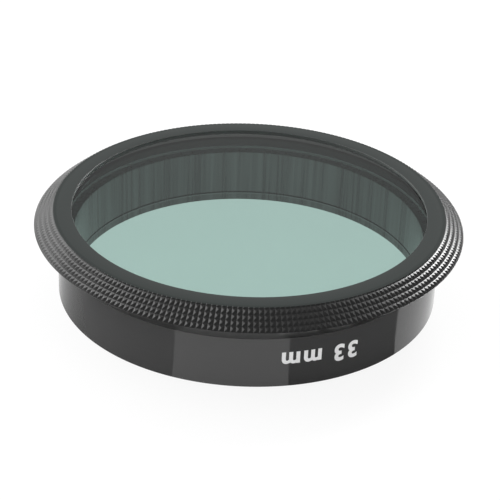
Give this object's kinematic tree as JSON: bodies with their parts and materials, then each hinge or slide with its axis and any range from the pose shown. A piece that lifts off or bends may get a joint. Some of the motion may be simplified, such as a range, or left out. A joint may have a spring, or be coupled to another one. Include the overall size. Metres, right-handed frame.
{
  "type": "action camera uv filter",
  "caption": "Round slip-on lens filter: clear tinted glass behind the lip of a black turned ring with a knurled, bevelled flange and a smooth skirt whose bore goes over the lens barrel.",
  "frame": {"origin": "centre of the skirt's open end, on the face that it stands on", "axes": "+Z along the filter's axis, out of the front of the glass; X and Y are any two directions across it"},
  "size_m": [0.037, 0.037, 0.0077],
  "materials": {
    "anodised_frame": "black anodised, satin",
    "coated_glass": "polished, coated, faint green tint",
    "seal_rubber": "black, satin",
    "anodised_ring": "black anodised, fine turned and brushed"
  },
  "bodies": {
    "root": {"frame": "anodised_frame", "filter_glass": "coated_glass", "seal_ring": "seal_rubber", "retaining_ring": "anodised_ring"}
  },
  "joints": []
}
